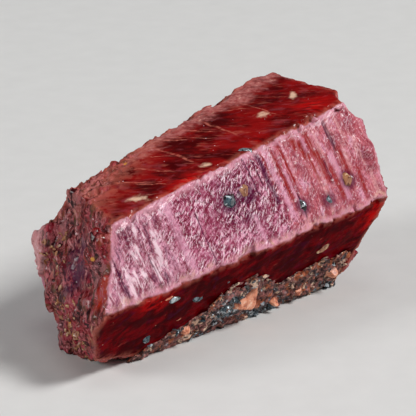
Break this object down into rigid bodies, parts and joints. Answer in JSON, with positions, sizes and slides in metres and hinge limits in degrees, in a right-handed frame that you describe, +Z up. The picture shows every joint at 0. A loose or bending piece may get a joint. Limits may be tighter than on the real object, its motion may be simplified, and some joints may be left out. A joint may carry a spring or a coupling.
{
  "type": "raw ruby crystal",
  "caption": "Rough tapered six-sided ruby prism with broken ends and a rind of rock matrix along its lower front edge, lying on a prism face.",
  "frame": {"origin": "middle of the underside of the specimen's box, on the surface that it rests on", "axes": "+X along the prism towards its broad end, +Z up from the prism face that it rests on, and the matrix rind on the -Y side"},
  "size_m": [0.0386, 0.0222, 0.0201],
  "materials": {
    "ruby": "etched satin prism faces and glassy dark red faces, with granular broken ends",
    "matrix": "granular matt rock of feldspar, mica and dark grains",
    "mica": "dark platy grains with a pearly glint",
    "feldspar": "orange and cream grains with a dull glassy break"
  },
  "bodies": {
    "root": {"ruby_crystal": "ruby", "matrix_rind": "matrix"}
  },
  "joints": []
}
